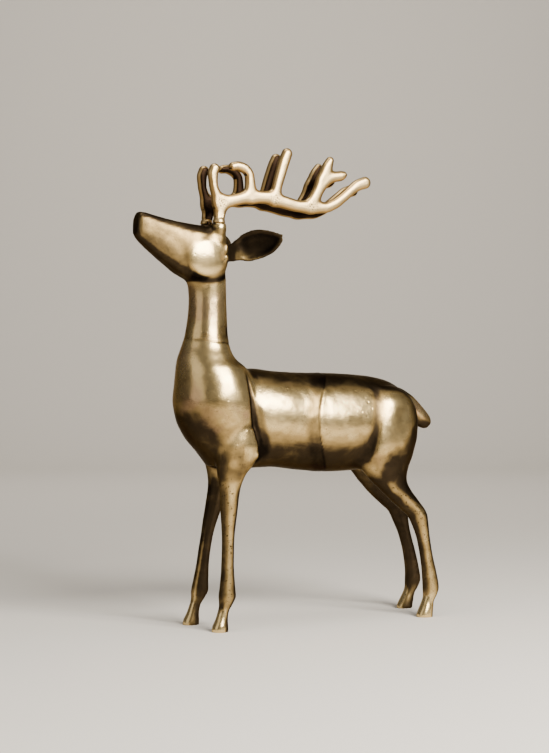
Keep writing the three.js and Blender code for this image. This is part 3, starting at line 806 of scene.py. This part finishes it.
def makeAntler(name, side, form):
    # the cast form with its own lumps, then cushioned faces: each point sinks along its normal by a soft
    # step of its distance from the outline
    mesh, points, quads = form
    piece = bpy.data.objects.new(name, mesh.copy())
    bpy.context.collection.objects.link(piece)
    normals = normalsOf(points, quads)
    (rise, size), (fineRise, fineSize) = antlers["unevenness"]
    lift = rise * latticeNoise(points, size, 11 + side) + fineRise * latticeNoise(points, fineSize, 15 + side)
    points = points + normals * lift[:, None]
    x, _, z = points.T
    nx, ny, nz = normals.T
    # the outer face is buffed pale and the inner face and the corners stay brown; the upper edges, undersides
    # and rear edges get painted highlights, and the face darkens towards its outline as painted shade
    outward = side * ny
    face = step(outward, 0.55, 0.88)
    flat = 1 - step(np.abs(outward), 0.55, 0.92)
    rim = 1 - step(np.abs(outward), 0.80, 0.985)
    # painted highlights on the upper rims, the flat undersides and the rear edges
    edge = rim * step(nz - 0.38 * nx, -0.28, 0.52)
    under = flat * step(-nz, 0.4, 0.9)
    behind = flat * step(nx, 0.2, 0.9)
    starts = [antlers["branches"][branch][0] for branch in antlers["pitted"]]
    pitted = sum(bell(np.hypot(x - startX, z - startZ), 10) for startX, startZ, _ in starts)
    inset = -plateEdge(points[:, [0, 2]].astype(np.float32))
    # painted shade: the outer face darker near its outline, as a domed face would look
    face *= np.maximum(0.40 + 0.60 * step(inset, 1.2, 6.6), 1 - step(z, 9, 17))
    wearAndPaintedLight = face + 0.80 * edge * (1 - face) + 0.42 * under + 0.26 * behind * (1 - edge)
    sink = antlers["cushion"] * np.abs(outward) * (1 - step(inset, 0, antlers["cushionWidth"]))
    points = points - normals * (sink * step(z, 10, 20))[:, None]
    settle(piece, seatTransform(points, side), {"face": wearAndPaintedLight, "pitted": pitted})
    report(name + " finished")
    return piece


def noiseOf(tree, scale, detail=4.0, rough=0.55, warp=0.0):
    # a noise on the piece's own coordinates, in metres
    where = tree.nodes.new("ShaderNodeTexCoord")
    made = tree.nodes.new("ShaderNodeTexNoise")
    made.inputs["Scale"].default_value = scale
    made.inputs["Detail"].default_value = detail
    made.inputs["Roughness"].default_value = rough
    made.inputs["Distortion"].default_value = warp
    tree.links.new(where.outputs["Object"], made.inputs["Vector"])
    return made.outputs["Fac"]


def ramp(tree, source, low, high, to=(0.0, 1.0)):
    # a smooth step from low to high, drawn out between the two ends named last
    made = tree.nodes.new("ShaderNodeMapRange")
    made.interpolation_type = "SMOOTHSTEP"
    made.inputs["From Min"].default_value = low
    made.inputs["From Max"].default_value = high
    made.inputs["To Min"].default_value = to[0]
    made.inputs["To Max"].default_value = to[1]
    tree.links.new(source, made.inputs["Value"])
    return made.outputs["Result"]


def sums(tree, operation, a, b):
    # one sum of two values or sockets
    made = tree.nodes.new("ShaderNodeMath")
    made.operation = operation
    for socket, value in zip(made.inputs, (a, b)):
        if isinstance(value, (int, float)):
            socket.default_value = value
        else:
            tree.links.new(value, socket)
    return made.outputs[0]


def blended(tree, share, first, second):
    # first * (1 - share) + second * share
    made = tree.nodes.new("ShaderNodeMix")
    made.data_type = "RGBA"
    tree.links.new(share, made.inputs["Factor"])
    for socket, value in ((made.inputs[6], first), (made.inputs[7], second)):
        if isinstance(value, tuple):
            socket.default_value = (*value, 1.0)
        else:
            tree.links.new(value, socket)
    return made.outputs[2]


def attributeOf(tree, name):
    # a value that the skin carries at its points
    made = tree.nodes.new("ShaderNodeAttribute")
    made.attribute_name = name
    return made.outputs["Fac"]


def centred(tree, noise, amount):
    # a noise from 0 to 1 becomes one around zero: (noise - 0.5) * amount
    return sums(tree, "MULTIPLY", sums(tree, "SUBTRACT", noise, 0.5), amount)


brassFinish = {
    "pale": (0.70, 0.52, 0.24),
    "brass": (0.36, 0.242, 0.092),
    "brown": (0.036, 0.0240, 0.0128),
    # the darkest tone, where the painted shade under the belly is deepest
    "umber": (0.0065, 0.0046, 0.0030),
    "rose": (0.42, 0.25, 0.15),
    "grazing": (0.49, 0.44, 0.37),  # tint where the metal is seen edge on
    "metal": 0.96,
    "cloudScale": 11.0,     # of the patina's large patches, in waves per metre
    "wipeScale": 26.0,      # of the streaks of the cloth
    "roseScale": 8.0,
    "fineScale": 70.0,
    "speckScale": 210.0,
    "pitScale": 75.0,
}


def bodyMetal():
    # the worn value is the buff attribute (wear with painted highlights and painted shade) + patches +
    # streaks - the crease attribute (patina in hollows and painted shade) - band; it picks umber, brown,
    # brass or pale brass, and the gloss with it
    material = bpy.data.materials.new("patinatedBrassAndPaintedLightTone")
    material.use_nodes = True
    tree = material.node_tree
    shader = tree.nodes["Principled BSDF"]
    buffAndPaintedLight = attributeOf(tree, "buffAndPaintedLight")
    creaseAndShade = attributeOf(tree, "creaseAndShade")
    band = attributeOf(tree, "band")
    cloud = noiseOf(tree, brassFinish["cloudScale"], 5.0, 0.6, 0.6)
    fine = noiseOf(tree, brassFinish["fineScale"], 6.0, 0.62, 0.2)
    wipe = noiseOf(tree, brassFinish["wipeScale"], 5.0, 0.6, 1.2)
    wearAndPaintedLight = sums(tree, "ADD", buffAndPaintedLight, centred(tree, cloud, 0.75))
    wearAndPaintedLight = sums(tree, "ADD", wearAndPaintedLight, centred(tree, wipe, 0.45))
    wearAndPaintedLight = sums(tree, "SUBTRACT", wearAndPaintedLight, sums(tree, "MULTIPLY", creaseAndShade, 0.9))
    wearAndPaintedLight = sums(tree, "SUBTRACT", wearAndPaintedLight, sums(tree, "MULTIPLY", band, 0.18))
    metalColour = blended(tree, ramp(tree, wearAndPaintedLight, 0.45, 0.95), brassFinish["brass"], brassFinish["pale"])
    flush = noiseOf(tree, brassFinish["roseScale"], 3.0, 0.5, 0.9)
    blush = sums(tree, "MULTIPLY", ramp(tree, flush, 0.58, 0.72), 0.55)
    metalColour = blended(tree, blush, metalColour, brassFinish["rose"])
    darkColour = blended(tree, ramp(tree, wearAndPaintedLight, -0.40, 0.10), brassFinish["umber"], brassFinish["brown"])
    colour = blended(tree, ramp(tree, wearAndPaintedLight, 0.0, 0.62), darkColour, metalColour)
    speck = ramp(tree, noiseOf(tree, brassFinish["speckScale"], 3.0, 0.6), 0.58, 0.68)
    speck = sums(tree, "MULTIPLY", speck, attributeOf(tree, "spots"))
    colour = blended(tree, speck, colour, brassFinish["brown"])
    tree.links.new(colour, shader.inputs["Base Color"])
    shader.inputs["Metallic"].default_value = brassFinish["metal"]
    shader.inputs["Specular Tint"].default_value = (*brassFinish["grazing"], 1.0)
    roughness = sums(tree, "ADD", ramp(tree, wearAndPaintedLight, 0.0, 0.9, (0.40, 0.235)), centred(tree, fine, 0.20))
    roughness = sums(tree, "ADD", roughness, centred(tree, cloud, 0.20))
    tree.links.new(roughness, shader.inputs["Roughness"])
    bump = tree.nodes.new("ShaderNodeBump")
    bump.inputs["Strength"].default_value = 0.24
    bump.inputs["Distance"].default_value = 0.0012
    height = sums(tree, "ADD", sums(tree, "MULTIPLY", noiseOf(tree, 160.0, 5.0, 0.6), 0.5),
                  sums(tree, "MULTIPLY", noiseOf(tree, 38.0, 3.0, 0.5), 0.8))
    pits = tree.nodes.new("ShaderNodeTexVoronoi")
    pits.inputs["Scale"].default_value = brassFinish["pitScale"]
    where = tree.nodes.new("ShaderNodeTexCoord")
    tree.links.new(where.outputs["Object"], pits.inputs["Vector"])
    few = ramp(tree, noiseOf(tree, 17.0, 2.0), 0.52, 0.62)
    pit = sums(tree, "MULTIPLY", ramp(tree, pits.outputs["Distance"], 0.22, 0.10), few)
    height = sums(tree, "SUBTRACT", height, sums(tree, "MULTIPLY", pit, 0.9))
    tree.links.new(height, bump.inputs["Height"])
    tree.links.new(bump.outputs["Normal"], shader.inputs["Normal"])
    return material


antlerFinish = {
    "champagne": (0.615, 0.445, 0.210),
    "honey": (0.40, 0.245, 0.085),
    "brown": (0.012, 0.0065, 0.0036),
    "grazing": (0.50, 0.42, 0.34),
    "metal": 0.96,
    "cloudScale": 14.0,
    "pitScale": 360.0,
}


def antlerMetal():
    # the worn value is the face attribute (buffing with painted highlights and painted shade) + patches; it
    # picks brown, honey or champagne, with dark pits at the forks
    material = bpy.data.materials.new("paleBuffedAndPaintedLightTone")
    material.use_nodes = True
    tree = material.node_tree
    shader = tree.nodes["Principled BSDF"]
    face = attributeOf(tree, "face")
    cloud = noiseOf(tree, antlerFinish["cloudScale"], 3.0, 0.5, 0.3)
    fine = noiseOf(tree, antlerFinish["pitScale"], 2.0, 0.5)
    wearAndPaintedLight = sums(tree, "ADD", face, centred(tree, cloud, 0.35))
    bright = blended(tree, ramp(tree, wearAndPaintedLight, 0.55, 1.05), antlerFinish["honey"], antlerFinish["champagne"])
    colour = blended(tree, ramp(tree, wearAndPaintedLight, 0.12, 0.42), antlerFinish["brown"], bright)
    speckle = sums(tree, "MULTIPLY", ramp(tree, fine, 0.52, 0.60), attributeOf(tree, "pitted"))
    colour = blended(tree, speckle, colour, antlerFinish["brown"])
    tree.links.new(colour, shader.inputs["Base Color"])
    shader.inputs["Metallic"].default_value = antlerFinish["metal"]
    shader.inputs["Specular Tint"].default_value = (*antlerFinish["grazing"], 1.0)
    tree.links.new(ramp(tree, wearAndPaintedLight, 0.0, 1.0, (0.40, 0.33)), shader.inputs["Roughness"])
    bump = tree.nodes.new("ShaderNodeBump")
    bump.inputs["Strength"].default_value = 0.16
    bump.inputs["Distance"].default_value = 0.001
    pits = sums(tree, "MULTIPLY", speckle, -1.5)
    tree.links.new(sums(tree, "ADD", pits, noiseOf(tree, 45.0, 3.0)), bump.inputs["Height"])
    tree.links.new(bump.outputs["Normal"], shader.inputs["Normal"])
    return material


studio = {
    "camera": [-1299.9, -2774.1, 461.4],  # mm from the point between the front toes
    "heading": 27.5,                       # degrees to the right of straight at the left flank
    "lens": 88.4,
    "shiftY": -0.0352,
    "floor": (0.70, 0.66, 0.60),
    "floorCurve": [4.0, 1.5],              # metres behind the statue where it bends up, and how widely
    "air": (0.80, 0.78, 0.75),
    "airStrength": 0.16,
    "lights": [  # name, place, aim and size in metres, watts, colour
        ["keyRight", (0.46, -2.30, 1.62), (0.0, 0.0, 0.40), (1.60, 1.30), 202.0, (1.0, 0.962, 0.895)],
        ["topSoft", (-0.3, -0.3, 2.5), (0.0, 0.0, 0.40), (1.2, 1.2), 24.0, (1.0, 0.96, 0.90)],
        ["wallWash", (0.9, 2.2, 2.8), (2.2, 4.6, 0.8), (3.0, 1.0), 72.0, (1.0, 0.95, 0.88)],
        ["fillLeft", (-3.0, -0.7, 1.3), (0.0, 0.0, 0.40), (2.2, 2.2), 14.0, (1.0, 0.94, 0.87)]],
}


def areaLight(name, place, aim, size, power, colour):
    # a rectangular lamp whose -Z axis points from its place to the aim
    lamp = bpy.data.lights.new(name, "AREA")
    lamp.shape = "RECTANGLE"
    lamp.size, lamp.size_y = size
    lamp.energy = power
    lamp.color = colour
    rig = bpy.data.objects.new(name, lamp)
    direction = np.array(aim, float) - np.array(place, float)
    flat = math.hypot(direction[0], direction[1])
    rig.location = place
    rig.rotation_euler = (math.pi / 2 + math.atan2(direction[2], flat), 0,
                          math.atan2(-direction[0], direction[1]))
    bpy.context.collection.objects.link(rig)
    return rig


def makeStudio():
    # the camera of the photograph's view, a floor that curves up into a wall, soft air and four lights
    view = bpy.data.cameras.new("view")
    view.lens = studio["lens"]
    view.sensor_width = 36.0
    view.shift_y = studio["shiftY"]
    camera = bpy.data.objects.new("view", view)
    place = (np.array(studio["camera"]) + np.array([toOrigin, 0, 0])) / 1000.0
    camera.location = place
    camera.rotation_euler = (math.pi / 2, 0, -math.radians(studio["heading"]))
    bpy.context.collection.objects.link(camera)
    bpy.context.scene.camera = camera

    # the floor's profile is a straight run, a quarter circle and a straight rise
    turn = np.linspace(0, np.pi / 2, 13)
    start, radius = studio["floorCurve"]
    curve = np.stack([start + radius * np.sin(turn), radius - radius * np.cos(turn)], 1)
    profile = np.concatenate([[[-6.0, 0.0]], curve, [[start + radius, 6.0]]])
    heading = math.radians(studio["heading"])
    ahead = np.array([math.sin(heading), math.cos(heading)])
    across = np.array([math.cos(heading), -math.sin(heading)])
    reach = np.array([-7.0, 7.0])
    grid = profile[:, None, :1] * ahead + reach[None, :, None] * across
    points = np.concatenate([grid, np.broadcast_to(profile[:, None, 1:], grid.shape[:2] + (1,))], 2)
    rows = np.arange(len(profile) - 1)[:, None] * 2 + np.array([0, 1, 3, 2])
    mesh = bpy.data.meshes.new("floor")
    mesh.from_pydata(points.reshape(-1, 3).tolist(), [], rows.tolist())
    mesh.polygons.foreach_set("use_smooth", np.ones(len(mesh.polygons), bool))
    floor = bpy.data.objects.new("floor", mesh)
    bpy.context.collection.objects.link(floor)
    paint = bpy.data.materials.new("floorPaint")
    paint.use_nodes = True
    shader = paint.node_tree.nodes["Principled BSDF"]
    shader.inputs["Base Color"].default_value = (*studio["floor"], 1.0)
    shader.inputs["Roughness"].default_value = 0.85
    mesh.materials.append(paint)

    world = bpy.data.worlds.new("studioAir")
    world.use_nodes = True
    background = world.node_tree.nodes["Background"]
    background.inputs["Color"].default_value = (*studio["air"], 1.0)
    background.inputs["Strength"].default_value = studio["airStrength"]
    bpy.context.scene.world = world

    for light in studio["lights"]:
        areaLight(*light)


makeStudio()
report("studio")

bodyMaterial = bodyMetal()
antlerMaterial = antlerMetal()
body = makeBody()
body.data.materials.append(bodyMaterial)
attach(body, "root")
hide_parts("reindeer_body")

castForm = antlerForm()
for name, nodeName, side in (("leftAntlerSkin", "left_antler", -1), ("rightAntlerSkin", "right_antler", 1)):
    antler = makeAntler(name, side, castForm)
    antler.data.materials.append(antlerMaterial)
    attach(antler, "root")
    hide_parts(nodeName)

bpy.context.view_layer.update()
report("sizes written")
